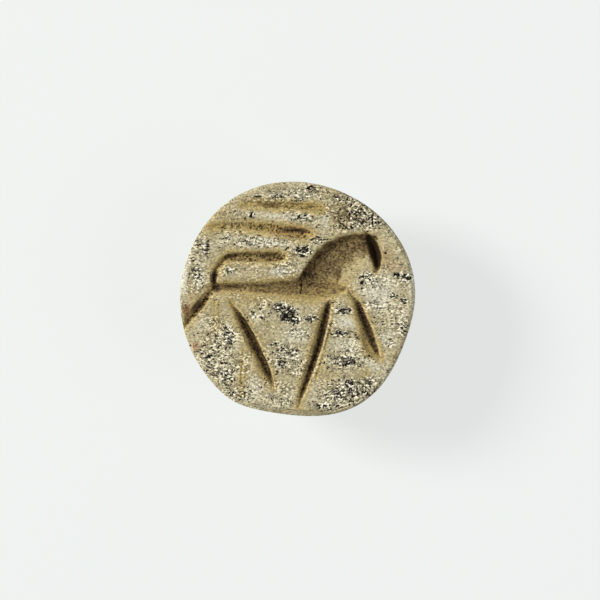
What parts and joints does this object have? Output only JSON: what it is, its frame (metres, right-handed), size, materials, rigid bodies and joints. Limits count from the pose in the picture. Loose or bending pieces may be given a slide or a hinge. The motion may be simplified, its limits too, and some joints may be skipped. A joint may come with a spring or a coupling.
{
  "type": "stamp seal",
  "caption": "Small pierced stone dome whose flat round face is engraved with a long-necked walking animal, for pressing into clay.",
  "frame": {"origin": "on the surface that the seal lies on, under the middle of its face: the centre of the small flat worn on its domed back", "axes": "+X from the engraved animal's rump towards its chest, +Y from its feet towards its back, +Z out of the engraved face"},
  "size_m": [0.0199, 0.0198, 0.009],
  "materials": {
    "stone": "pale, dull, fine-grained stone, pitted and stained dark and ochre, with brown earth left in the engraving"
  },
  "bodies": {
    "root": {"seal": "stone"}
  },
  "joints": []
}
